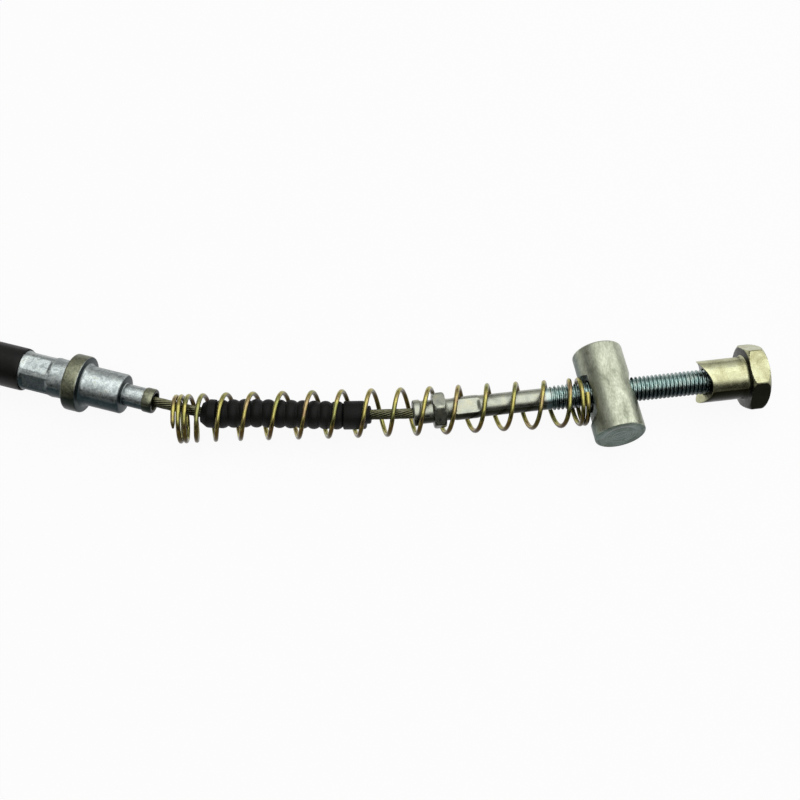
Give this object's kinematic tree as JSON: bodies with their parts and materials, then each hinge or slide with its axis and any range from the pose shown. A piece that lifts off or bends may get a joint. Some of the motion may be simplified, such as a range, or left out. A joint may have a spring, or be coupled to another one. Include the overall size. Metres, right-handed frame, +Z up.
{
  "type": "motorcycle brake cable",
  "caption": "Brake cable with a crimped ferrule, ridged boot, return spring, barrel pin and adjuster nut on a threaded rod, and a coiled black casing.",
  "frame": {"origin": "on the surface that the cable lies on, under the middle of the near end's bounding box, without the coiled casing", "axes": "+X along the threaded rod towards the adjuster nut, +Z up from the surface"},
  "size_m": [0.3511, 0.1009, 0.0177],
  "materials": {
    "ferrule_zinc": "bright zinc plate",
    "sleeve_rubber": "matt, black",
    "casing_black": "smooth, black",
    "armour_steel": "wound steel wire",
    "liner_plastic": "waxy, off-white",
    "wire_rope": "stranded steel wire",
    "boot_rubber": "matt, black",
    "spring_zinc": "yellow zinc plate, iridescent",
    "rod_zinc": "clear zinc plate",
    "barrel_zinc": "pale yellow zinc plate, mottled",
    "nut_zinc": "pale yellow zinc plate",
    "far_end_zinc": "bright zinc plate",
    "tie_plastic": "smooth, black"
  },
  "bodies": {
    "casing": {"casing_ferrule": "ferrule_zinc", "protective_sleeve": "sleeve_rubber", "casing_jacket": "casing_black", "casing_armour": "armour_steel", "casing_liner": "liner_plastic", "casing_run": "casing_black", "casing_coil": "casing_black", "casing_tail": "casing_black", "casing_end": "casing_black", "coil_tie_1": "tie_plastic", "coil_tie_2": "tie_plastic", "end_cap": "far_end_zinc"},
    "inner_wire": {"inner_wire": "wire_rope", "wire_boot": "boot_rubber", "return_spring": "spring_zinc", "threaded_rod": "rod_zinc"},
    "barrel": {"barrel_pin": "barrel_zinc"},
    "nut": {"adjuster_nut": "nut_zinc"},
    "far_wire": {"far_wire": "wire_rope", "wire_nipple": "far_end_zinc"}
  },
  "joints": [
    {"name": "cable_pull", "type": "slide", "parent": "casing", "child": "inner_wire", "axis": [0.9259, -0.3778, 0], "range_m": [-0.003, 0.0215]},
    {"name": "far_wire_pull", "type": "slide", "parent": "casing", "child": "far_wire", "axis": [-1, 0, 0], "range_m": [-0.003, 0.0215]},
    {"name": "barrel_slide", "type": "slide", "parent": "inner_wire", "child": "barrel", "axis": [1, 0, 0], "range_m": [-0.024, 0.0145], "deforming": ["return_spring"]},
    {"name": "nut_turn", "type": "hinge", "parent": "inner_wire", "child": "nut", "pos_m": [0.02353, -0.0156, 0.00787], "axis": [1, 0, 0], "continuous": true}
  ],
  "couplings": [
    {"joint": "far_wire_pull", "follows": "cable_pull", "ratio": 1}
  ]
}
